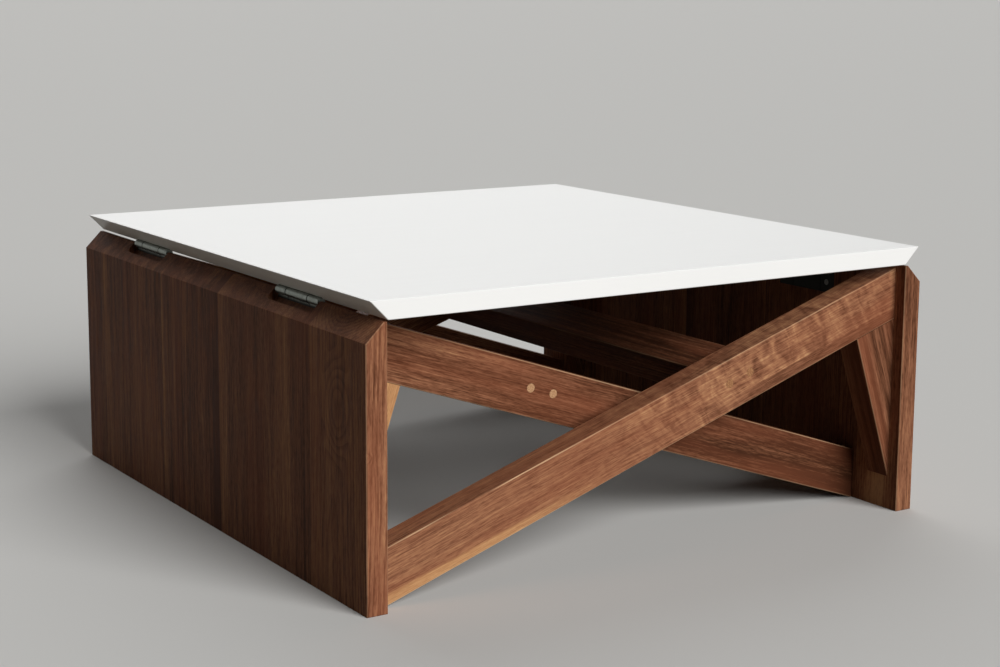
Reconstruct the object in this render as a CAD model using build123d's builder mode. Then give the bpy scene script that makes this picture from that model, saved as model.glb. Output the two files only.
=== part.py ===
# Coffee table that turns into a dining table. A white top is hinged along its left and right edges
# to two walnut side frames. Each frame is a panel of glued boards with two sloping beams, two wedges
# and a cross rail. A quarter turn about the hinges brings both panels level with the top as leaves,
# and the sloping beams become splayed legs.
# Millimetres. X runs along the front, Y to the back, Z up. The origin is on the floor, under the middle.

import os
from math import acos, atan2, cos, hypot, sin, sqrt, tan

from build123d import *

# Driving dimensions of the top and the panels
inner_width = 720.0  # between the inner faces of the two panels
depth = 780.0  # front to back, top and panels alike
panel_height = 308.0  # floor to a panel's top edge
top_thickness = 21.0
panel_flat = 4.0  # flat left on a panel's top edge inside its chamfer
top_gap = 1.5  # air between a panel's top edge and the underside of the top
top_inset = 1.0  # from a panel's inner face to the lower edge of the top's bevel
mitre_gap = 0.35  # left between bevel and chamfer when a frame is swung out
board_stock = (255.0, 168.0, 232.0, 125.0)  # widths of the glued boards, shared out over the depth
panel_arris = 1.0  # rounding along the panels' edges, and easing of their ends
top_arris = 0.6  # easing of the top's edges

# Driving dimensions of the beams, wedges and rails
beam_depth = 60.0  # square to the beam's slope
beam_thickness = 36.0  # front to back
beam_setback = 17.0  # from the panel's end to the outer beam
beam_gap = 25.0  # between the outer beam and the other frame's inner beam beside it
beam_drop = 4.5  # from the panel's top edge down to the beam's upper corner
foot_gap = 1.0  # between a beam's end cut and the other panel
wedge_lift = 41.5  # from the floor to a wedge's tip
rail_width = 60.0  # along the beams' slope
rail_thickness = 36.0
rail_offset = 118.0  # from the table's middle to the rail's middle
rail_raise = 2.5  # from the beams' middle line up to the rail's, square to their slope
stick_arris = 1.5  # rounding along beams, wedges and rails
foot_arris = 1.0  # easing around a beam's foot

# Driving dimensions of the dowels
rail_dowel_radius = 5.25
rail_dowel_spacing = 32.0
rail_dowel_bite = 45.0  # length inside the rail
panel_dowel_radius = 5.0
panel_dowel_spacing = 26.0
panel_dowel_bite = 14.0  # length inside the panel
beam_dowel_bite = 34.0  # length inside the beam
glue_line = 0.05  # around dowels and screws
bore_end_room = 1.0  # left at the bottom of a blind bore

# Driving dimensions of the hinges and their screws
hinge_length = 102.0
hinge_clear = 28.5  # from the inner beam to the hinge beside it
hinge_spacing = 410.0  # between the middles of a frame's two hinges
middle_knuckle = 52.0
knuckle_gap = 0.4
knuckle_arris = 0.6  # easing of the knuckles' ends
leaf_thickness = 2.0
leaf_reach = 51.0  # from the pin's middle to a leaf's far edge
leaf_fit = 0.2  # around a leaf in its mortise
pin_radius = 2.5
pin_fit = 0.05
barrel_room = 0.6  # free space around the turning barrel
pocket_end_room = 3.0  # past each end of the barrel
pocket_reach = 16.0  # of the barrel's pocket, down the panel's chamfer
pocket_corner = 5.0
screw_radius = 1.75
screw_head_radius = 3.8
screw_length = 16.0
screw_fit = 0.1  # between a head and its countersink
screw_near = 19.0  # the middle screw's distance from the pin
screw_far = 38.0  # the end screws' distance from the pin
screw_end = 14.0  # from a leaf's end to its end screws
slot_width = 0.8  # of the cross recess in a screw's head
slot_length = 4.4
slot_depth = 1.0

# Panels and top: the chamfer is as high as the top is thick, so that the two meet in a mitre
half = inner_width / 2
panel_thickness = top_thickness + panel_flat
underside = panel_height + top_gap
top_surface = underside + top_thickness
bevel_low = half - top_inset
bevel_high = bevel_low + top_thickness

# Hinge axis: the quarter turn about it brings panel and top flush, with the mitre gap between them
mitre_play = sqrt(2) * mitre_gap
axis_x = half + (panel_flat - top_inset - top_gap + mitre_play) / 2
axis_z = panel_height + (top_gap - panel_flat - top_inset + mitre_play) / 2
axis_cover = (panel_flat + top_inset - mitre_play) / sqrt(2)  # depth of the axis under the chamfer

# Hinges: each leaf is flush with its own board, the top's one tangent to the rolled barrel
barrel_radius = underside - axis_z + leaf_thickness
barrel_reach = barrel_radius + barrel_room
end_knuckle = (hinge_length - middle_knuckle) / 2 - knuckle_gap
end_knuckle_middle = (hinge_length - end_knuckle) / 2
pocket_depth = axis_cover + barrel_reach
pocket_length = hinge_length + 2 * pocket_end_room

# Beams: from the floor at the other panel up to just under this panel's top edge
beam_run = inner_width - foot_gap
beam_rise = panel_height - beam_drop
slope = acos(beam_depth / hypot(beam_run, beam_rise)) - atan2(beam_run, beam_rise)
beam_height = beam_depth / cos(slope)
foot_x = foot_gap - half
beam_foot = beam_run * tan(slope)  # the beam's lower corner at its own panel
outer_beam_y = beam_setback + beam_thickness / 2 - depth / 2
inner_beam_y = depth / 2 - beam_setback - beam_gap - beam_thickness * 3 / 2
beam_places = ((outer_beam_y, -1), (inner_beam_y, 1))  # middle, and the way its plugs face
hinge_y = inner_beam_y - beam_thickness / 2 - hinge_clear - hinge_length / 2
hinge_places = (hinge_y - hinge_spacing, hinge_y)

# Rail: between the beams and along their slope, with its dowels on its middle line
rail_front = outer_beam_y + beam_thickness / 2
rail_back = inner_beam_y - beam_thickness / 2
rail_height = (rail_offset - foot_x) * tan(slope) + beam_height / 2 + rail_raise / cos(slope)
rail_middle = Vector(rail_offset, 0, rail_height)
along_slope = Vector(cos(slope), 0, sin(slope))

# The right frame is modelled in place, and the left one is the same frame turned half round
side_turns = {"right": 0, "left": 180}
end_names = {"right": ("front", "rear"), "left": ("rear", "front")}


def section_at(x, y, z):
    """Upright plane across the table, with X to the right and Z up."""
    return Plane(origin=(x, y, z), x_dir=(1, 0, 0), z_dir=(0, -1, 0))


def panel_screw_seats(y):
    """Places of one panel leaf's screws, on its open face and facing the table's middle."""
    places = screw_places(y)
    return [Plane(origin=(half, place, axis_z - reach), z_dir=(-1, 0, 0)) for place, reach in places]


def top_screw_seats(y):
    """Places of one top leaf's screws, on its open face and facing the floor."""
    places = screw_places(y)
    return [Plane(origin=(axis_x - reach, place, underside), z_dir=(0, 0, -1)) for place, reach in places]


def screw_places(y):
    """The end screws of a leaf sit far from the pin and the middle one near it."""
    spread = hinge_length / 2 - screw_end
    return [(y - spread, screw_far), (y, screw_near), (y + spread, screw_far)]


def rail_dowel_places(y, facing):
    """Planes of the two dowels of one rail end, on a beam's outer face and facing out of it."""
    places = []
    for side in (-1, 1):
        middle = rail_middle + along_slope * (side * rail_dowel_spacing / 2)
        places.append(Plane(origin=(middle.X, y, middle.Z), z_dir=(0, facing, 0)))
    return places


def panel_dowel_heights():
    """Heights of the two dowels of one beam end, about the beam's middle at half their bite."""
    middle = beam_foot - beam_dowel_bite / 2 * tan(slope) + beam_height / 2
    return [middle - panel_dowel_spacing / 2, middle + panel_dowel_spacing / 2]


def keep(part, name):
    """Names a finished piece and writes it."""
    part.label = name
    export_step(part, f"parts/{name}.step")


def top_panel_piece():
    """White panel with its side edges bevelled under, let in for the leaves and barrels."""
    with BuildPart() as top_panel:
        with BuildSketch(section_at(0, 0, underside)):
            with BuildLine():
                Polyline(
                    (-bevel_low, 0),
                    (bevel_low, 0),
                    (bevel_high, top_thickness),
                    (-bevel_high, top_thickness),
                    close=True,
                )
            make_face()
        extrude(amount=depth / 2, both=True)
        chamfer(top_panel.edges(), length=top_arris)
        for turn in side_turns.values():
            with Locations(Location((0, 0, 0), (0, 0, turn))):
                for y in hinge_places:
                    with Locations((axis_x, y, axis_z)):
                        Cylinder(barrel_reach, pocket_length, rotation=(90, 0, 0), mode=Mode.SUBTRACT)
                    with Locations((axis_x, y, underside)):
                        Box(
                            leaf_reach + leaf_fit,
                            hinge_length + 2 * leaf_fit,
                            leaf_thickness,
                            align=(Align.MAX, Align.CENTER, Align.MIN),
                            mode=Mode.SUBTRACT,
                        )
                    with Locations(*top_screw_seats(y)):
                        Hole(screw_radius + glue_line, depth=screw_length + bore_end_room)
    return top_panel.part


def panel_board_piece(front, back):
    """One upright board of a panel, with its top edge chamfered and the panel's open end eased."""
    with BuildPart() as board:
        with BuildSketch(section_at(half, (front + back) / 2, 0)):
            with BuildLine():
                Polyline(
                    (0, 0),
                    (panel_thickness, 0),
                    (panel_thickness, panel_height - top_thickness),
                    (panel_flat, panel_height),
                    (0, panel_height),
                    close=True,
                )
            make_face()
        extrude(amount=(back - front) / 2, both=True)
        fillet(board.edges().filter_by(Axis.Y), radius=panel_arris)
        if front == -depth / 2:
            chamfer(board.faces().sort_by(Axis.Y)[0].edges(), length=panel_arris)
        if back == depth / 2:
            chamfer(board.faces().sort_by(Axis.Y)[-1].edges(), length=panel_arris)
        for y in hinge_places:
            chamfer_plane = Plane(
                origin=(half + panel_flat, y, panel_height), x_dir=(1, 0, -1), z_dir=(1, 0, 1)
            )
            with BuildSketch(chamfer_plane):
                with Locations(((pocket_reach - pocket_depth) / 2, 0)):
                    RectangleRounded(pocket_reach + pocket_depth, pocket_length, pocket_corner)
            extrude(amount=-pocket_depth, mode=Mode.SUBTRACT)
            with Locations((half, y, axis_z)):
                Box(
                    leaf_thickness,
                    hinge_length + 2 * leaf_fit,
                    leaf_reach + leaf_fit,
                    align=(Align.MIN, Align.CENTER, Align.MAX),
                    mode=Mode.SUBTRACT,
                )
            with Locations(*panel_screw_seats(y)):
                Hole(screw_radius + glue_line, depth=screw_length + bore_end_room)
        for y, _ in beam_places:
            for z in panel_dowel_heights():
                with Locations(Plane(origin=(half, y, z), z_dir=(-1, 0, 0))):
                    Hole(panel_dowel_radius + glue_line, depth=panel_dowel_bite + bore_end_room)
    return board.part


def beam_piece(y, facing):
    """Sloping beam: upright end cuts, bored for the rail's dowels and the panel's dowels."""
    with BuildPart() as beam:
        with BuildSketch(section_at(0, y, 0)):
            with BuildLine():
                Polyline(
                    (foot_x, 0),
                    (half, beam_foot),
                    (half, beam_foot + beam_height),
                    (foot_x, beam_height),
                    close=True,
                )
            make_face()
        extrude(amount=beam_thickness / 2, both=True)
        fillet(beam.edges().filter_by(Axis((0, 0, 0), along_slope)), radius=stick_arris)
        chamfer(beam.faces().sort_by(Axis.X)[0].edges(), length=foot_arris)
        with Locations(*rail_dowel_places(y + facing * beam_thickness / 2, facing)):
            Hole(rail_dowel_radius + glue_line, depth=beam_thickness)
        for z in panel_dowel_heights():
            with Locations(Plane(origin=(half, y, z), z_dir=(1, 0, 0))):
                Hole(panel_dowel_radius + glue_line, depth=beam_dowel_bite + bore_end_room)
    return beam.part


def wedge_piece(y):
    """Wedge in the angle under a beam, with its long free side square to the beam."""
    contact = beam_foot - wedge_lift
    with BuildPart() as wedge:
        with BuildSketch(section_at(half, y, beam_foot)):
            with BuildLine():
                Polyline(
                    (0, 0),
                    (-contact * sin(slope) * cos(slope), -contact * sin(slope) ** 2),
                    (0, -contact),
                    close=True,
                )
            make_face()
        extrude(amount=beam_thickness / 2, both=True)
        free_direction = Axis((0, 0, 0), (sin(slope), 0, -cos(slope)))
        fillet(wedge.edges().filter_by(free_direction), radius=stick_arris)
    return wedge.part


def rail_piece():
    """Cross rail between the frame's two beams, bored at both ends for its dowels."""
    with BuildPart() as rail:
        rail_end = Plane(
            origin=(rail_middle.X, rail_front, rail_middle.Z), x_dir=along_slope, z_dir=(0, 1, 0)
        )
        with BuildSketch(rail_end):
            Rectangle(rail_width, rail_thickness)
        extrude(amount=rail_back - rail_front)
        fillet(rail.edges().filter_by(Axis.Y), radius=stick_arris)
        for y, facing in ((rail_front, -1), (rail_back, 1)):
            with Locations(*rail_dowel_places(y, facing)):
                Hole(rail_dowel_radius + glue_line, depth=rail_dowel_bite + bore_end_room)
    return rail.part


def rail_dowels_piece():
    """Dowels through the beams into both rail ends, flush with the beams' outer faces."""
    with BuildPart() as dowels:
        for y, facing in beam_places:
            for place in rail_dowel_places(y + facing * beam_thickness / 2, facing):
                with BuildSketch(place):
                    Circle(rail_dowel_radius)
                extrude(amount=-(beam_thickness + rail_dowel_bite))
    return dowels.part


def panel_dowels_piece():
    """Hidden dowels between the beams' upper ends and the panel."""
    with BuildPart() as dowels:
        for y, _ in beam_places:
            for z in panel_dowel_heights():
                with BuildSketch(Plane(origin=(half - beam_dowel_bite, y, z), z_dir=(1, 0, 0))):
                    Circle(panel_dowel_radius)
                extrude(amount=beam_dowel_bite + panel_dowel_bite)
    return dowels.part


def knuckle_piece(length):
    """One rolled knuckle along Y about the origin, with eased ends."""
    with BuildPart() as knuckle:
        with BuildSketch(Plane.XZ):
            Circle(barrel_radius)
        extrude(amount=length / 2, both=True)
        chamfer(knuckle.edges().filter_by(GeomType.CIRCLE), length=knuckle_arris)
    return knuckle.part


def panel_leaf_piece(y):
    """Hinge leaf of the panel, flush with its inner face, with a knuckle rolled at each end."""
    plate_middle = half + leaf_thickness / 2 - axis_x
    section = section_at(axis_x, y, axis_z)
    knuckle = knuckle_piece(end_knuckle)
    with BuildPart() as leaf:
        with BuildSketch(section):
            with Locations((plate_middle, -(leaf_reach + barrel_reach) / 2)):
                Rectangle(leaf_thickness, leaf_reach - barrel_reach)
        extrude(amount=hinge_length / 2, both=True)
        for end in (-1, 1):
            with Locations((axis_x, y - end * end_knuckle_middle, axis_z)):
                add(knuckle)
            with BuildSketch(section.offset(end * end_knuckle_middle)):
                with Locations((plate_middle, -barrel_reach / 2)):
                    Rectangle(leaf_thickness, barrel_reach)
            extrude(amount=end_knuckle / 2, both=True)
        with BuildSketch(section):
            Circle(pin_radius + pin_fit)
        extrude(amount=hinge_length / 2, both=True, mode=Mode.SUBTRACT)
        with Locations(*panel_screw_seats(y)):
            CounterSinkHole(screw_radius + screw_fit, screw_head_radius, counter_sink_angle=90)
    return leaf.part


def top_leaf_piece(y):
    """Hinge leaf of the top, flush with its underside, with the long middle knuckle rolled on it."""
    plate_middle = barrel_radius - leaf_thickness / 2
    section = section_at(axis_x, y, axis_z)
    knuckle = knuckle_piece(middle_knuckle)
    with BuildPart() as leaf:
        with BuildSketch(section):
            with Locations((-(leaf_reach + barrel_reach) / 2, plate_middle)):
                Rectangle(leaf_reach - barrel_reach, leaf_thickness)
        extrude(amount=hinge_length / 2, both=True)
        with Locations((axis_x, y, axis_z)):
            add(knuckle)
        with BuildSketch(section):
            with Locations((-barrel_reach / 2, plate_middle)):
                Rectangle(barrel_reach, leaf_thickness)
        extrude(amount=middle_knuckle / 2, both=True)
        with BuildSketch(section):
            Circle(pin_radius + pin_fit)
        extrude(amount=middle_knuckle / 2, both=True, mode=Mode.SUBTRACT)
        with Locations(*top_screw_seats(y)):
            CounterSinkHole(screw_radius + screw_fit, screw_head_radius, counter_sink_angle=90)
    return leaf.part


def hinge_pin_piece(y):
    """Pin through all three knuckles, held by the two end ones."""
    with BuildPart() as pin:
        with BuildSketch(section_at(axis_x, y, axis_z)):
            Circle(pin_radius)
        extrude(amount=hinge_length / 2, both=True)
        chamfer(pin.edges().filter_by(GeomType.CIRCLE), length=knuckle_gap)
    return pin.part


def wood_screw_piece():
    """Countersunk screw with a cross recess, its head's face at the origin and its shank down."""
    head = screw_head_radius - screw_fit
    with BuildPart() as screw:
        with BuildSketch(Plane.XZ):
            with BuildLine():
                Polyline(
                    (0, 0),
                    (head, 0),
                    (screw_radius, screw_radius - head),
                    (screw_radius, -screw_length),
                    (0, -screw_length),
                    close=True,
                )
            make_face()
        revolve(axis=Axis.Z)
        with BuildSketch(Plane.XY):
            Rectangle(slot_length, slot_width)
            Rectangle(slot_width, slot_length)
        extrude(amount=-slot_depth, mode=Mode.SUBTRACT)
    return screw.part


def screws_piece(leaf_seats, turns):
    """The screws of all leaves of one kind, each on its seat."""
    screw = wood_screw_piece()
    with BuildPart() as screws:
        for turn in turns:
            with Locations(Location((0, 0, 0), (0, 0, turn))):
                for y in hinge_places:
                    with Locations(*leaf_seats(y)):
                        add(screw)
    return screws.part


os.makedirs("parts", exist_ok=True)

keep(top_panel_piece(), "top_panel")
keep(screws_piece(top_screw_seats, side_turns.values()), "top_hinge_screws")

# Pieces that come once in each frame
frame_pieces = {
    "cross_rail": rail_piece(),
    "rail_dowels": rail_dowels_piece(),
    "panel_dowels": panel_dowels_piece(),
    "hinge_screws": screws_piece(panel_screw_seats, [0]),
}
board_joints = [-depth / 2]
for width in board_stock[:-1]:
    board_joints.append(board_joints[-1] + width * depth / sum(board_stock))
board_joints.append(depth / 2)
for number, (front, back) in enumerate(zip(board_joints, board_joints[1:]), start=1):
    frame_pieces[f"panel_board_{number}"] = panel_board_piece(front, back)

# Pieces that come once at each end of a frame
end_pieces = []
for (beam_y, facing), y in zip(beam_places, hinge_places):
    end_pieces.append(
        {
            "beam": beam_piece(beam_y, facing),
            "wedge": wedge_piece(beam_y),
            "hinge_panel_leaf": panel_leaf_piece(y),
            "hinge_top_leaf": top_leaf_piece(y),
            "hinge_pin": hinge_pin_piece(y),
        }
    )

for side, turn in side_turns.items():
    for name, piece in frame_pieces.items():
        keep(piece.rotate(Axis.Z, turn), f"{side}_{name}")
    for end, pieces in zip(end_names[side], end_pieces):
        for name, piece in pieces.items():
            keep(piece.rotate(Axis.Z, turn), f"{side}_{end}_{name}")
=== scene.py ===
# Looks of a walnut coffee table whose two side frames swing out and turn it into a dining table.
# Each side is a panel of glued boards with two sloping beams, hinged along one edge of a white top.
# Metres in the frame of the solids: X along the front, Y to the back, Z up from the floor.
import math

import bpy
from mathutils import Matrix, Vector


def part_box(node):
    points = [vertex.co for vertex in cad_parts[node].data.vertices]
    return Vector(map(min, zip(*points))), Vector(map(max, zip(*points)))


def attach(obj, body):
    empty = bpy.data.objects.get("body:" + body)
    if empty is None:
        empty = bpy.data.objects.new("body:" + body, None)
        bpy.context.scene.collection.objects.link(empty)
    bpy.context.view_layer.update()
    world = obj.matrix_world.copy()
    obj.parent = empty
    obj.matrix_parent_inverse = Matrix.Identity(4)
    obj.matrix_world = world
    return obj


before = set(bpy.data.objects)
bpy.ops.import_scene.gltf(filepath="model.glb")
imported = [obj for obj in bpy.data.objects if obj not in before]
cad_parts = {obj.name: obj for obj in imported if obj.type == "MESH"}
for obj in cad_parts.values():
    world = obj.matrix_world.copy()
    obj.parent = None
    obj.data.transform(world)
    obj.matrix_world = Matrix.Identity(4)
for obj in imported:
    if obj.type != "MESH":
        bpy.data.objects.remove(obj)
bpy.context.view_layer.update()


# Side panels: four upright walnut boards a side, edge-glued, planed flush and oiled.
# Their top edge is chamfered for the mitre with the top, so it shows half end grain, and their
# ends are eased by hand.
MM = 0.001


def linear(code):
    """Linear colour of an sRGB hex value."""
    channels = [int(code[place:place + 2], 16) / 255 for place in (1, 3, 5)]
    return [c / 12.92 if c <= 0.04045 else ((c + 0.055) / 1.055) ** 2.4 for c in channels] + [1.0]


def add(owner, kind, inputs, **settings):
    """Adds a shader node, sets its properties, and sets its inputs or links them to nodes or outputs."""
    tree = owner.node_tree
    node = tree.nodes.new(kind)
    for name, value in settings.items():
        setattr(node, name, value)
    for key, value in inputs.items():
        source = value.outputs[0] if isinstance(value, bpy.types.Node) else value
        if isinstance(source, bpy.types.NodeSocket):
            tree.links.new(source, node.inputs[key])
        else:
            node.inputs[key].default_value = source
    return node


def new_material(name):
    """An empty node material and its surface shader."""
    material = bpy.data.materials.new(name)
    material.use_nodes = True
    return material, material.node_tree.nodes["Principled BSDF"]


def wear(material, *names):
    """Gives carried-over pieces a material."""
    for name in names:
        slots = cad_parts[name].data.materials
        slots.clear()
        slots.append(material)


# Oiled walnut, planed. It gives the eye long streaks of darker and redder years, fine fibres and short dark
# pores along the grain, year rings, pale sapwood at the rim of the log and, on some pieces, a fiddleback
# ripple. All of it is drawn in the log, in millimetres, so that faces, edges and ends agree.
# The pale arris colour is wear and a painted highlight along the edges
WALNUT = {"deep": "#43271a", "dark": "#643f2c", "middle": "#895b43", "light": "#a87756", "gold": "#c7986e",
          "red": "#8a4f37", "sap": "#c79864", "pore": "#382017", "wear_and_highlight": "#e2bd95", "glue": "#3a2418"}
# Layers of grain: width across and length along the grain, detail, and share in the tone. Fibres and dashes
# are drawn two or three times coarser than real ones, which are too fine to show.
GRAIN = {"years": (26, 600, 2.0, 0.55), "streak": (5.0, 170, 2.0, 0.70), "fibre": (1.2, 40, 2.0, 1.05),
         "dash": (1.1, 9, 1.0, 0.85)}
NOISE_MEAN = 0.5
NOISE_SPAN = (0.3, 0.7)  # most of a noise lies between these
RING_WANDER = (60, 60, 300)  # millimetres across, across and along the grain, as in the triples below
KNOT_HEART = (0.1, 0.45)  # shares of a knot's half sizes over which its dark heart fades
LATE_WOOD = (0.25, 0.9)  # shares of a year at which its dark line starts and is darkest
# End grain: how square to the grain a face is where it starts and is full, and how much clearer the lines
# and how much darker the oil then are
END_LINES = (0.4, 0.9, 1.5)
END_DARK = (0.4, 1.0, 0.5)
SAP_BLUR = (-2, 4)  # millimetres over which sapwood comes in
SAP_LIFT = 0.45  # how much paler sapwood is
SAP_TINT = 0.6  # how yellow it is
BAND_BLUR = 1.0  # millimetres on either side of a plain band's edge
CURL_RIPPLE = (30, 30, 14)
CURL_LEAN = math.radians(20)
CURL_BEFORE = 0.15  # share of the ripple that shows before its span
CURL_IN_BAND = 0.1  # and in a plain band
RED_BLOTCH = (40, 40, 300)
RED_YEARS = (0.45, 0.7, 0.45)  # noise at which redder years start and are full, and how red they are
PORES = (0.58, 0.74, 0.35)  # the same for pores
PORE_SINK = 0.8  # depth of a pore against the fibres' relief
ARRIS = (0.05, 0.4)  # the normal's turn round an edge where wear and painted highlight start and are full
WEAR_AND_HIGHLIGHT_BREAK = (0.32, 0.52)  # noise where wear and painted highlight along an edge start and are full
WEAR_AND_HIGHLIGHT_AFTER = 0.3  # share of the wear and painted highlight left after its span
GLUE_LINE = (1.0, 0.8)  # width in millimetres, and how dark it is
OIL_GLOSS = (0.42, 0.6)  # roughness of the glossiest and the dullest fibres
OIL_SHEEN = 0.045  # rubbed oil sinks in and leaves little sheen
FIBRE_RELIEF = 0.2  # millimetres


def walnut(piece, grain, face, from_pith, tone=0.5, fade=0.0, ring=4.0, taper=0.012, drift=5.0, lines=0.08,
           curl=None, sap=None, band=None, knots=(), streaks=(), wear_and_highlight=0.2, wear_and_highlight_span=None, glued=False,
           coarse=1.0, mix=(1.0, 1.0, 1.0, 1.0)):
    """Oiled walnut for one piece, cut from a log of its own with the piece's middle at from_pith.

    The log's axes are the board's face, its width and its grain. Tone runs from 0, dark, to 1, pale, and
    fade is how much paler it gets in each millimetre along the grain. Ring is the width of a year, taper
    and drift are how the rings close in and wander, and lines is how dark they are. Curl is the strength
    of the ripple and the stretch along the grain where it comes in. Sap is where sapwood starts across the
    piece, its lean along the grain, the edge it lies at, its strength, and the stretch where it dies out.
    Band is where a plainer, darker edge starts, the stretch where it comes in, and how dark it is. A knot
    has its place from the piece's middle, its half sizes, the lift of the rings around it and its darkness.
    A streak has its place across, its half width and how much paler it is. The arrises are
    painted pale, for wear and for a highlight along them, and most of it goes over its span. Mix is how
    much of its years, streaks, fibres and dashes shows, and coarse is how much wider than GRAIN they are.
    """
    material, surface = new_material(f"oiled_walnut_{piece}")
    links = material.node_tree.links
    # Each piece takes its own stretch of the noises, by its name
    seed = (sum(ord(letter) * (place + 3) for place, letter in enumerate(piece)) % 97) * 0.37
    low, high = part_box(piece)
    along = Vector(grain).normalized()
    rows = Matrix((Vector(face), along.cross(Vector(face)), along))
    width = abs((rows @ (high - low)).y) / MM
    place = add(material, "ShaderNodeTexCoord", {})
    offset = Vector((*from_pith, 0)) - rows @ (low + high) / 2 / MM
    log = add(material, "ShaderNodeMapping", {"Vector": place.outputs["Object"], "Location": offset,
              "Rotation": rows.to_euler(), "Scale": (1 / MM,) * 3})

    # Slow wander of the rings
    slow = add(material, "ShaderNodeVectorMath", {0: log, 1: RING_WANDER}, operation="DIVIDE")
    wander = add(material, "ShaderNodeTexNoise", {"Vector": slow, "W": seed, "Scale": 1.0, "Detail": 2.0},
                 noise_dimensions="4D")
    sway = add(material, "ShaderNodeVectorMath", {0: wander.outputs["Color"], 1: (NOISE_MEAN,) * 3},
               operation="SUBTRACT")
    bent = add(material, "ShaderNodeVectorMath", {0: sway, 1: (2 * drift,) * 3, 2: log},
               operation="MULTIPLY_ADD")
    spot = add(material, "ShaderNodeSeparateXYZ", {0: bent})
    flat = add(material, "ShaderNodeVectorMath", {0: bent, 1: (1, 1, 0)}, operation="MULTIPLY")
    radius = add(material, "ShaderNodeVectorMath", {0: flat}, operation="LENGTH")
    grown = add(material, "ShaderNodeMath", {0: spot.outputs["Z"], 1: taper, 2: radius.outputs["Value"]},
                operation="MULTIPLY_ADD")

    # Knots lift the rings around them and are dark at heart
    hearts = 0.0
    for centre, half_sizes, lift, darkness in knots:
        away = add(material, "ShaderNodeVectorMath", {0: bent, 1: Vector(centre) + Vector((*from_pith, 0))},
                   operation="SUBTRACT")
        scaled = add(material, "ShaderNodeVectorMath", {0: away, 1: half_sizes}, operation="DIVIDE")
        apart = add(material, "ShaderNodeVectorMath", {0: scaled}, operation="LENGTH").outputs["Value"]
        bulge = add(material, "ShaderNodeMapRange", {0: apart, 3: lift, 4: 0.0},
                    interpolation_type="SMOOTHSTEP")
        grown = add(material, "ShaderNodeMath", {0: grown, 1: bulge}, operation="ADD")
        heart = add(material, "ShaderNodeMapRange", {0: apart, 1: KNOT_HEART[0], 2: KNOT_HEART[1],
                    3: darkness, 4: 0.0}, interpolation_type="SMOOTHSTEP")
        hearts = add(material, "ShaderNodeMath", {0: heart, 1: hearts}, operation="ADD")

    # Late wood: a soft dark line at the end of each year, clearer on end grain
    years_grown = add(material, "ShaderNodeMath", {0: grown, 1: ring}, operation="DIVIDE")
    year = add(material, "ShaderNodeMath", {0: years_grown}, operation="FRACT")
    late = add(material, "ShaderNodeValToRGB", {0: year})
    late.color_ramp.interpolation = "EASE"
    for element, position in zip(late.color_ramp.elements, LATE_WOOD):
        element.position = position
    late.color_ramp.elements.new(1.0).color = (0, 0, 0, 1)
    turned = add(material, "ShaderNodeVectorMath", {0: place.outputs["Normal"], 1: along},
                 operation="DOT_PRODUCT")
    end_grain = add(material, "ShaderNodeMath", {0: turned.outputs["Value"]}, operation="ABSOLUTE")
    depth = add(material, "ShaderNodeMapRange", {0: end_grain, 1: END_LINES[0], 2: END_LINES[1], 3: -lines,
                4: -END_LINES[2] * lines})
    shade = add(material, "ShaderNodeMath", {0: late, 1: depth}, operation="MULTIPLY")

    # Layers of noise drawn out along the grain
    shares = {layer: look[3] * shown for (layer, look), shown in zip(GRAIN.items(), mix)}
    level = tone - NOISE_MEAN * sum(shares.values())
    shade = add(material, "ShaderNodeMath", {0: shade, 1: level}, operation="ADD")
    layers = {}
    for layer, (wide, long, detail, _) in GRAIN.items():
        drawn = add(material, "ShaderNodeVectorMath", {0: bent, 1: (coarse * wide, coarse * wide, long)},
                    operation="DIVIDE")
        layers[layer] = add(material, "ShaderNodeTexNoise", {"Vector": drawn, "W": seed + wide,
                            "Scale": 1.0, "Detail": detail, "Roughness": 0.6}, noise_dimensions="4D")
        shade = add(material, "ShaderNodeMath", {0: layers[layer], 1: shares[layer], 2: shade},
                    operation="MULTIPLY_ADD")
    for across, half_width, paler in streaks:
        off = add(material, "ShaderNodeMath", {0: spot.outputs["Y"], 1: from_pith[1] + across},
                  operation="SUBTRACT")
        aside = add(material, "ShaderNodeMath", {0: off}, operation="ABSOLUTE")
        paling = add(material, "ShaderNodeMapRange", {0: aside, 2: half_width, 3: paler, 4: 0.0},
                     interpolation_type="SMOOTHSTEP")
        shade = add(material, "ShaderNodeMath", {0: paling, 1: shade}, operation="ADD")
    shade = add(material, "ShaderNodeMath", {0: spot.outputs["Z"], 1: fade, 2: shade},
                operation="MULTIPLY_ADD")

    # Sapwood is paler and yellower, and the grain still shows in it
    if sap:
        sap_start, lean, edge, left, dying = sap
        leaned = add(material, "ShaderNodeMath", {0: spot.outputs["Z"], 1: -lean, 2: spot.outputs["Y"]},
                     operation="MULTIPLY_ADD")
        inward = add(material, "ShaderNodeMath", {0: leaned, 1: edge}, operation="MULTIPLY")
        rim = edge * (from_pith[1] + sap_start)
        if dying:
            left = add(material, "ShaderNodeMapRange", {0: spot.outputs["Z"], 1: dying[0], 2: dying[1],
                       3: left, 4: 0.0}, interpolation_type="SMOOTHSTEP")
        sapwood = add(material, "ShaderNodeMapRange", {0: inward, 1: rim + SAP_BLUR[0],
                      2: rim + SAP_BLUR[1], 4: left}, interpolation_type="SMOOTHSTEP")
        shade = add(material, "ShaderNodeMath", {0: sapwood, 1: SAP_LIFT, 2: shade},
                    operation="MULTIPLY_ADD")

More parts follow.
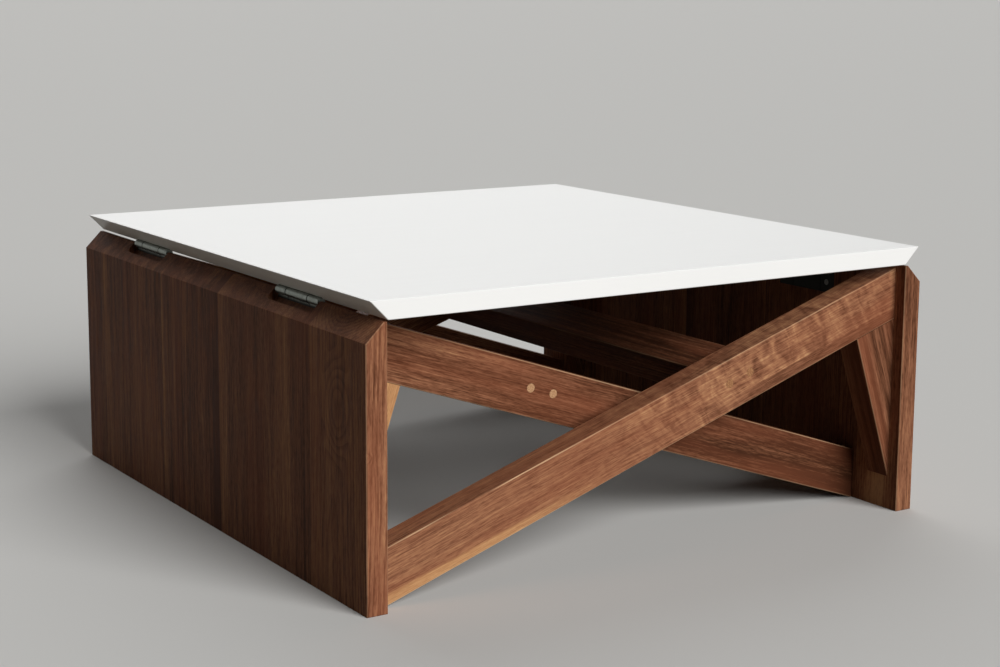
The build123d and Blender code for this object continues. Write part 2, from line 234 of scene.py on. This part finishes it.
    # A plainer, darker edge, and the fiddleback ripple outside it
    plain = 0.0
    if band:
        band_start, comes, full, darker = band
        inside = add(material, "ShaderNodeMapRange", {0: spot.outputs["Y"],
                     1: from_pith[1] + band_start - BAND_BLUR, 2: from_pith[1] + band_start + BAND_BLUR})
        plain = add(material, "ShaderNodeMapRange", {0: spot.outputs["Z"], 1: comes, 2: full, 4: inside},
                    interpolation_type="SMOOTHSTEP")
        shade = add(material, "ShaderNodeMath", {0: plain, 1: -darker, 2: shade}, operation="MULTIPLY_ADD")
    if curl:
        height, comes, full = curl
        strength = add(material, "ShaderNodeMapRange", {0: spot.outputs["Z"], 1: comes, 2: full,
                       3: CURL_BEFORE * height, 4: height}, interpolation_type="SMOOTHSTEP")
        strength = add(material, "ShaderNodeMapRange", {0: plain, 3: strength, 4: CURL_IN_BAND * height})
        squeezed = add(material, "ShaderNodeMapping", {"Vector": bent, "Rotation": (CURL_LEAN, 0, 0),
                       "Scale": CURL_RIPPLE}, vector_type="TEXTURE")
        ripple = add(material, "ShaderNodeTexNoise", {"Vector": squeezed, "W": seed, "Scale": 1.0,
                     "Detail": 2.0, "Roughness": 0.55, "Distortion": 0.8}, noise_dimensions="4D")
        crest = add(material, "ShaderNodeMath", {0: ripple, 1: NOISE_MEAN}, operation="SUBTRACT")
        shade = add(material, "ShaderNodeMath", {0: crest, 1: strength, 2: shade}, operation="MULTIPLY_ADD")
    tones = add(material, "ShaderNodeValToRGB", {0: shade})
    tones.color_ramp.elements[0].color = linear(WALNUT["deep"])
    tones.color_ramp.elements[1].color = linear(WALNUT["gold"])
    for position, name in ((0.25, "dark"), (0.5, "middle"), (0.75, "light")):
        tones.color_ramp.elements.new(position).color = linear(WALNUT[name])

    # Stains over the tone: redder years, sapwood, knots, pores, thirsty end grain, pale arrises, glue
    # lines;
    # the pale arrises are wear and a painted highlight
    blotched = add(material, "ShaderNodeVectorMath", {0: bent, 1: RED_BLOTCH}, operation="DIVIDE")
    blotch = add(material, "ShaderNodeTexNoise", {"Vector": blotched, "W": seed + 7, "Scale": 1.0,
                 "Detail": 2.0}, noise_dimensions="4D")
    stains = {"red": add(material, "ShaderNodeMapRange", {0: blotch, 1: RED_YEARS[0], 2: RED_YEARS[1],
                         4: RED_YEARS[2]})}
    if sap:
        stains["sap"] = add(material, "ShaderNodeMath", {0: sapwood, 1: SAP_TINT}, operation="MULTIPLY")
    if knots:
        stains["deep"] = hearts
    pores = add(material, "ShaderNodeMapRange", {0: layers["dash"], 1: PORES[0], 2: PORES[1],
                4: PORES[2] * mix[3]})
    stains["pore"] = pores
    stains["dark"] = add(material, "ShaderNodeMapRange", {0: end_grain, 1: END_DARK[0], 2: END_DARK[1],
                         4: END_DARK[2]})
    on_face, on_edge = (add(material, "ShaderNodeVectorMath", {0: place.outputs["Normal"], 1: row},
                            operation="DOT_PRODUCT").outputs["Value"] for row in rows[:2])
    both = add(material, "ShaderNodeMath", {0: on_face, 1: on_edge}, operation="MULTIPLY")
    rounding = add(material, "ShaderNodeMath", {0: both}, operation="ABSOLUTE")
    # Arrises painted pale for wear and for a highlight along them, broken up by the streaks
    wear_and_highlight_amount = wear_and_highlight
    if wear_and_highlight_span:
        wear_and_highlight_amount = add(material, "ShaderNodeMapRange", {0: spot.outputs["Z"], 1: wear_and_highlight_span[0],
                      2: wear_and_highlight_span[1], 3: wear_and_highlight, 4: WEAR_AND_HIGHLIGHT_AFTER * wear_and_highlight})
    rubbed_and_lit = add(material, "ShaderNodeMapRange", {0: layers["streak"], 1: WEAR_AND_HIGHLIGHT_BREAK[0], 2: WEAR_AND_HIGHLIGHT_BREAK[1],
                 4: wear_and_highlight_amount})
    stains["wear_and_highlight"] = add(material, "ShaderNodeMapRange", {0: rounding, 1: ARRIS[0], 2: ARRIS[1], 4: rubbed_and_lit})
    if glued:
        straight = add(material, "ShaderNodeSeparateXYZ", {0: log})
        joint = from_pith[1] + width / 2
        stains["glue"] = add(material, "ShaderNodeMapRange", {0: straight.outputs["Y"],
                             1: joint - GLUE_LINE[0], 2: joint, 4: GLUE_LINE[1]})
    colour = tones.outputs[0]
    for name, mask in stains.items():
        colour = add(material, "ShaderNodeMix", {0: mask, 6: colour, 7: linear(WALNUT[name])},
                     data_type="RGBA").outputs[2]
    links.new(colour, surface.inputs["Base Color"])

    # Rubbed oil: fibres a little uneven in gloss, pores sunk
    gloss = add(material, "ShaderNodeMapRange", {0: layers["fibre"], 1: NOISE_SPAN[0], 2: NOISE_SPAN[1],
                3: OIL_GLOSS[0], 4: OIL_GLOSS[1]})
    links.new(gloss.outputs[0], surface.inputs["Roughness"])
    surface.inputs["Specular IOR Level"].default_value = OIL_SHEEN
    relief = add(material, "ShaderNodeMath", {0: pores, 1: -PORE_SINK, 2: layers["fibre"]},
                 operation="MULTIPLY_ADD")
    bump = add(material, "ShaderNodeBump", {"Height": relief, "Strength": 0.3,
               "Distance": FIBRE_RELIEF * MM})
    links.new(bump.outputs[0], surface.inputs["Normal"])
    wear(material, piece)


PANEL_BOARDS = {
    1: {"from_pith": (60, 190), "ring": 3.6, "tone": 0.46, "fade": -0.0003, "mix": (2.2, 1.7, 1.0, 0.7),
        "streaks": ((-60, 14, 0.12), (20, 10, -0.12), (70, 18, 0.1))},
    2: {"from_pith": (45, -170), "ring": 3.0, "tone": 0.4, "mix": (2.2, 1.7, 1.0, 0.7),
        "streaks": ((-83, 8, 0.2), (-60, 12, -0.1), (10, 16, -0.1), (80, 26, -0.38))},
    3: {"from_pith": (50, -180), "ring": 3.4, "tone": 0.45, "mix": (1.6, 1.2, 1.0, 0.8),
        "streaks": ((-112, 24, 0.34), (-70, 20, 0.08), (60, 35, 0.12), (102, 4, -0.25), (112, 4, -0.2))},
    4: {"from_pith": (52, 10), "ring": 3.6, "tone": 0.64, "drift": 4.0, "taper": 0.02, "lines": 0.17,
        "mix": (1.3, 0.9, 1.0, 0.7), "streaks": ((62, 10, -0.12),)},
}
# The right panel's boards are plainer. One has a pale streak near its front edge, painted light for the
# light falling on the front strip of the panel's inner face. The left panel's front board has a tall
# oval of rings and a small knot at its edge.
PLAINER = {"mix": (1.0, 0.8, 0.8, 0.7)}
RIGHT_BOARDS = {1: {**PLAINER, "streaks": ((-92, 34, 0.5),)}, 2: PLAINER, 3: PLAINER}
LEFT_BOARDS = {4: {"knots": (((0, -3, 55), (90, 40, 75), 20, 0.0), ((9.5, 57, 15), (9, 9, 9), 7, 0.8))}}
PANEL_COARSE = 1.6  # the panels are seen at a slant, so their grain is drawn coarser again
for side, outward, own_looks in (("right", 1, RIGHT_BOARDS), ("left", -1, LEFT_BOARDS)):
    for number, look in PANEL_BOARDS.items():
        walnut(f"{side}_panel_board_{number}", grain=(0, 0, 1), face=(outward, 0, 0), coarse=PANEL_COARSE,
               glued=number < len(PANEL_BOARDS), **{**look, **own_looks.get(number, {})})


# Beams: four sloping walnut bars, sawn from thick stock and planed, each glued and dowelled to its
# own panel at the top and standing clear of the other one at its foot.
BEAM_DEPTH = 60 * MM
low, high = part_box("right_front_beam")
beam_run, beam_rise = high.x - low.x, high.z - low.z
slope = math.acos(BEAM_DEPTH / math.hypot(beam_run, beam_rise)) - math.atan2(beam_run, beam_rise)
# The beams' arrises are painted pale for wear and a highlight; the right front beam's most, near its low
# end
BEAM_WEAR_AND_HIGHLIGHT = 0.35
BEAMS = {
    "right_front": {"from_pith": (60, 70), "tone": 0.56, "lines": 0.03, "mix": (0.9, 0.6, 0.95, 0.8),
                    "curl": (1.2, -140, 100), "sap": (22, 0.015, 1, 0.6, (-250, -70)),
                    "band": (16, 60, 180, 0.2), "wear_and_highlight": 1.0, "wear_and_highlight_span": (-220, -100),
                    "knots": (((0, 4, 130), (80, 26, 34), 8, 0.0),)},
    "right_rear": {"from_pith": (-70, 60), "tone": 0.45, "mix": (1.3, 1.3, 0.8, 0.8)},
    "left_front": {"from_pith": (70, -60), "tone": 0.25, "fade": 0.0006, "ring": 3.0,
                   "mix": (1.2, 1.0, 0.95, 0.95), "knots": (((0, -2, -178), (80, 26, 50), 7, 0.0),)},
    "left_rear": {"from_pith": (60, 50), "tone": 0.45, "curl": (0.5, -100, 100)},
}
for corner, look in BEAMS.items():
    climb = 1 if corner.startswith("right") else -1
    walnut(f"{corner}_beam", grain=(climb * math.cos(slope), 0, math.sin(slope)), face=(0, -1, 0),
           **{"wear_and_highlight": BEAM_WEAR_AND_HIGHLIGHT, **look})


# Wedges: thin triangles of walnut glued into the angle between each beam and its panel, with their
# grain along the free side, square to the beam.
WEDGES = {
    "right_front": {"from_pith": (40, 85), "ring": 14.0, "tone": 0.38, "lines": 0.2,
                    "mix": (1.7, 1.4, 0.6, 0.6)},
    "right_rear": {"from_pith": (60, -50), "ring": 4.5, "tone": 0.45},
    "left_front": {"from_pith": (80, 60), "sap": (-60, 0, 1, 0.7, None)},
    "left_rear": {"from_pith": (50, 60), "tone": 0.45},
}
for corner, look in WEDGES.items():
    climb = 1 if corner.startswith("right") else -1
    walnut(f"{corner}_wedge", grain=(-climb * math.sin(slope), 0, math.cos(slope)), face=(0, -1, 0), **look)


# Cross rails: one flat walnut bar between the two beams of each frame, planed to their slope, then
# butted against them and dowelled through.
for side, climb in (("right", 1), ("left", -1)):
    walnut(f"{side}_cross_rail", grain=(0, 1, 0), face=(-climb * math.sin(slope), 0, math.cos(slope)),
           from_pith=(60, 50), tone=0.18, mix=(1.3, 1.3, 0.8, 0.8))


# Dowels: turned pegs of a paler hardwood, glued in and sanded flush, so only the end grain of the
# rail's pegs shows, as two round plugs on each beam. The left frame's pegs are the paler ones.
PEG_COLOURS = {"right": ("#7d5339", "#a87a54"), "left": ("#966d4d", "#c49b75")}
PEG_GRIT = 1.2  # pores of end grain, drawn some five times coarser than real ones
GRIT_SPAN = (0.36, 0.62)
GLUE_RING = 1.2
RING_TURN = (0.75, 0.98)  # match of rounded and flat normals where the ring is darkest and where it ends
RING_DARK = 0.7
for side, colours in PEG_COLOURS.items():
    # Sanded end grain: a fine pale grit, with a dark ring of glue round it
    peg_wood, surface = new_material(f"sanded_dowel_end_grain_{side}")
    place = add(peg_wood, "ShaderNodeTexCoord", {})
    grit = add(peg_wood, "ShaderNodeTexNoise", {"Vector": place.outputs["Object"],
               "Scale": 1 / (PEG_GRIT * MM), "Detail": 2.0})
    ramp = add(peg_wood, "ShaderNodeValToRGB", {0: grit})
    for element, position, code in zip(ramp.color_ramp.elements, GRIT_SPAN, colours):
        element.position = position
        element.color = linear(code)
    rounded = add(peg_wood, "ShaderNodeBevel", {"Radius": GLUE_RING * MM}, samples=8)
    faced = add(peg_wood, "ShaderNodeNewGeometry", {})
    turned = add(peg_wood, "ShaderNodeVectorMath", {0: rounded, 1: faced.outputs["Normal"]},
                 operation="DOT_PRODUCT").outputs["Value"]
    ring = add(peg_wood, "ShaderNodeMapRange", {0: turned, 1: RING_TURN[0], 2: RING_TURN[1], 3: RING_DARK,
               4: 0.0})
    rimmed = add(peg_wood, "ShaderNodeMix", {0: ring, 6: ramp, 7: linear(WALNUT["glue"])}, data_type="RGBA")
    peg_wood.node_tree.links.new(rimmed.outputs[2], surface.inputs["Base Color"])
    surface.inputs["Roughness"].default_value = 0.6
    surface.inputs["Specular IOR Level"].default_value = 0.25
    wear(peg_wood, f"{side}_rail_dowels", f"{side}_panel_dowels")


# Hinges: four mitre hinges of bronzed steel. The panel's leaf carries the two end knuckles and the pin,
# the top's leaf the middle knuckle, and countersunk steel screws hold both leaves.
HINGE_AXIS = Vector((360.997, 0, 306.497)) * MM
MIDDLE_KNUCKLE = 52 * MM
BARREL = 5.0 * MM
# The leaves' bronze is darkened further as painted shade, for their place in the gaps
SHADED_BRONZE, RUBBED, OIL_AND_GAP_SHADE = "#2b2a26", "#858a83", "#171614"
# Oil and painted shade where the knuckles meet: the line stands for the shadow in the gap between them
OIL_AND_GAP_SHADE_LINE = 1.0 * MM
RUBBED_REACH = (1.05 * BARREL, 1.5 * BARREL)  # from the axis, where rubbing starts to fade and ends
BRONZE_CLOUD = 6.0
CLOUD_SPAN = (0.35, 0.65)
LEAST_RUBBED = 0.7
STEEL_GLOSS = (0.55, 0.36)  # bronzed and rubbed
for side, across in (("right", 1), ("left", -1)):
    for end in ("front", "rear"):
        # Bronzed steel: brown-black in the leaves, darker still as painted shade for their place
        # in the gaps, and rubbed to a greenish grey on the knuckles, with a dark line painted where the
        # knuckles meet, for oil and for the shade in the gap between them
        bronzed, surface = new_material(f"bronzed_steel_{side}_{end}")
        low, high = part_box(f"{side}_{end}_hinge_panel_leaf")
        middle = Vector((across * HINGE_AXIS.x, (low.y + high.y) / 2, HINGE_AXIS.z))
        place = add(bronzed, "ShaderNodeTexCoord", {})
        away = add(bronzed, "ShaderNodeVectorMath", {0: place.outputs["Object"], 1: middle},
                   operation="SUBTRACT")
        round_pin = add(bronzed, "ShaderNodeVectorMath", {0: away, 1: (1, 0, 1)}, operation="MULTIPLY")
        reach = add(bronzed, "ShaderNodeVectorMath", {0: round_pin}, operation="LENGTH").outputs["Value"]
        rubbed_and_lit = add(bronzed, "ShaderNodeMapRange", {0: reach, 1: RUBBED_REACH[0], 2: RUBBED_REACH[1],
                     3: 1.0, 4: 0.0})
        cloud = add(bronzed, "ShaderNodeTexNoise", {"Vector": place.outputs["Object"],
                    "Scale": 1 / (BRONZE_CLOUD * MM), "Detail": 3.0})
        bare = add(bronzed, "ShaderNodeMapRange", {0: cloud, 1: CLOUD_SPAN[0], 2: CLOUD_SPAN[1],
                   3: LEAST_RUBBED, 4: 1.0})
        shown = add(bronzed, "ShaderNodeMath", {0: rubbed_and_lit, 1: bare}, operation="MULTIPLY")
        tint = add(bronzed, "ShaderNodeMix", {0: shown, 6: linear(SHADED_BRONZE), 7: linear(RUBBED)},
                   data_type="RGBA")
        spot = add(bronzed, "ShaderNodeSeparateXYZ", {0: away})
        # A dark line painted where the knuckles meet: oil, and the shade in the gap between them
        from_middle = add(bronzed, "ShaderNodeMath", {0: spot.outputs["Y"]}, operation="ABSOLUTE")
        joint = add(bronzed, "ShaderNodeMath", {0: from_middle, 1: MIDDLE_KNUCKLE / 2, 2: OIL_AND_GAP_SHADE_LINE},
                    operation="COMPARE")
        oiled = add(bronzed, "ShaderNodeMix", {0: joint, 6: tint.outputs[2], 7: linear(OIL_AND_GAP_SHADE)},
                    data_type="RGBA")
        bronzed.node_tree.links.new(oiled.outputs[2], surface.inputs["Base Color"])
        surface.inputs["Metallic"].default_value = 1.0
        gloss = add(bronzed, "ShaderNodeMapRange", {0: shown, 3: STEEL_GLOSS[0], 4: STEEL_GLOSS[1]})
        bronzed.node_tree.links.new(gloss.outputs[0], surface.inputs["Roughness"])
        for piece in ("panel_leaf", "top_leaf", "pin"):
            wear(bronzed, f"{side}_{end}_hinge_{piece}")
# Plated steel of the screws: a plain grey glint in the dark of the leaves
screw_steel, surface = new_material("plated_screw_steel")
surface.inputs["Base Color"].default_value = linear("#8a8a84")
surface.inputs["Metallic"].default_value = 1.0
surface.inputs["Roughness"].default_value = 0.35
wear(screw_steel, "top_hinge_screws", "right_hinge_screws", "left_hinge_screws")


# Top: a board with its side edges bevelled under, sprayed in satin white lacquer on all faces. The lacquer
# shows the faintest streaks of the spray passes, along the table, and a fine orange peel.
LACQUER_COLOURS = ("#efefed", "#f1f1ef")
SPRAY_STREAK = (350, 5, 350)  # millimetres
SPRAY_SPAN = (0.35, 0.65)
LACQUER_GLOSS = (0.35, 0.4)
ORANGE_PEEL = 2.5  # millimetres from bump to bump
PEEL_RELIEF = 0.1  # millimetres
white_lacquer, surface = new_material("satin_white_lacquer")
place = add(white_lacquer, "ShaderNodeTexCoord", {})
stretched = add(white_lacquer, "ShaderNodeVectorMath", {0: place.outputs["Object"],
                1: Vector(SPRAY_STREAK) * MM}, operation="DIVIDE")
streak = add(white_lacquer, "ShaderNodeTexNoise", {"Vector": stretched, "Scale": 1.0, "Detail": 2.0})
ramp = add(white_lacquer, "ShaderNodeValToRGB", {0: streak})
for element, position, code in zip(ramp.color_ramp.elements, SPRAY_SPAN, LACQUER_COLOURS):
    element.position = position
    element.color = linear(code)
white_lacquer.node_tree.links.new(ramp.outputs[0], surface.inputs["Base Color"])
gloss = add(white_lacquer, "ShaderNodeMapRange", {0: streak, 1: NOISE_SPAN[0], 2: NOISE_SPAN[1],
            3: LACQUER_GLOSS[0], 4: LACQUER_GLOSS[1]})
white_lacquer.node_tree.links.new(gloss.outputs[0], surface.inputs["Roughness"])
surface.inputs["Specular IOR Level"].default_value = 0.35
peel = add(white_lacquer, "ShaderNodeTexNoise", {"Vector": place.outputs["Object"],
           "Scale": 1 / (ORANGE_PEEL * MM), "Detail": 1.0})
bump = add(white_lacquer, "ShaderNodeBump", {"Height": peel, "Strength": 0.05,
           "Distance": PEEL_RELIEF * MM})
white_lacquer.node_tree.links.new(bump.outputs[0], surface.inputs["Normal"])
wear(white_lacquer, "top_panel")


# Floor and surroundings: a plain matt pale floor in even light. It goes down with the right front foot when
# the frames swing out. Bounced light finds it greyer than the eye does, so that the table's underside and
# shaded side stay dark, and its shadow still falls on it.
FLOOR_SIZE = 300.0
PALE, GREY = "#d2d1ce", "#787167"
AROUND = "#f2f2f0"
ROUND_LEVEL = 0.02  # of the surroundings, as light on the table
SEEN_LEVEL = 0.6  # and as the eye and gloss see them
bpy.ops.mesh.primitive_plane_add(size=FLOOR_SIZE)
floor = bpy.context.object
floor.name = "floor"
foot = bpy.data.objects.new("right_front_foot", None)
bpy.context.scene.collection.objects.link(foot)
foot.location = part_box("right_front_beam")[0]
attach(foot, "right_side")
stand = floor.constraints.new("COPY_LOCATION")
stand.target = foot
stand.use_x = False
stand.use_y = False
pale_floor, surface = new_material("pale_floor")
floor.data.materials.append(pale_floor)
surface.inputs["Roughness"].default_value = 0.9
surface.inputs["Specular IOR Level"].default_value = 0.2
studio = bpy.data.worlds.new("studio")
studio.use_nodes = True
bpy.context.scene.world = studio
seen = {}
for owner in (pale_floor, studio):
    ray = add(owner, "ShaderNodeLightPath", {})
    eye = add(owner, "ShaderNodeMath", {0: ray.outputs["Is Camera Ray"], 1: ray.outputs["Is Glossy Ray"]},
              operation="MAXIMUM")
    seen[owner] = add(owner, "ShaderNodeMath", {0: eye, 1: ray.outputs["Is Transmission Ray"]},
                      operation="MAXIMUM")
tint = add(pale_floor, "ShaderNodeMix", {0: seen[pale_floor], 6: linear(GREY), 7: linear(PALE)},
           data_type="RGBA")
pale_floor.node_tree.links.new(tint.outputs[2], surface.inputs["Base Color"])
background = studio.node_tree.nodes["Background"]
background.inputs["Color"].default_value = linear(AROUND)
brightness = add(studio, "ShaderNodeMapRange", {0: seen[studio], 3: ROUND_LEVEL, 4: SEEN_LEVEL})
studio.node_tree.links.new(brightness.outputs[0], background.inputs["Strength"])


# Lamps: a broad soft key in front, a little to the right, and a weaker one behind, each with its direction,
# its width in degrees, the level that it gives a white surface facing it, and whether gloss mirrors it: the
# key's glare would burn out the top from behind.
LAMPS = {"key": ((0.16, -0.86, 0.48), 40, 1.12, False), "back": ((0.35, 0.72, 0.6), 60, 0.31, True)}
for name, (direction, width, level, mirrored) in LAMPS.items():
    lamp_data = bpy.data.lights.new(name, "SUN")
    lamp_data.angle = math.radians(width)
    lamp_data.energy = level * math.pi
    lamp = bpy.data.objects.new(name, lamp_data)
    bpy.context.scene.collection.objects.link(lamp)
    lamp.rotation_euler = Vector(direction).to_track_quat("Z", "Y").to_euler()
    lamp.visible_glossy = mirrored


# Camera: at the photograph's place in front and to the left, a little above the top. A short lens shift
# keeps the uprights near upright.
CAMERA_PLACE = Vector((-1281.4, -2026.9, 658.7)) * MM
CAMERA_YAW, CAMERA_PITCH, CAMERA_ROLL = (math.radians(angle) for angle in (32.827, -9.412, 0.390))
camera_data = bpy.data.cameras.new("camera")
camera_data.sensor_width = 36.0
camera_data.lens = 68.12
camera_data.shift_y = -0.05
camera_data.clip_end = 400  # past the floor's far edge
camera = bpy.data.objects.new("camera", camera_data)
bpy.context.scene.collection.objects.link(camera)
camera.location = CAMERA_PLACE
turn = Matrix.Rotation(-CAMERA_YAW, 3, "Z") @ Matrix.Rotation(math.pi / 2 + CAMERA_PITCH, 3, "X")
camera.rotation_euler = (turn @ Matrix.Rotation(CAMERA_ROLL, 3, "Z")).to_euler()
bpy.context.scene.camera = camera
bpy.context.scene.view_settings.view_transform = "Standard"
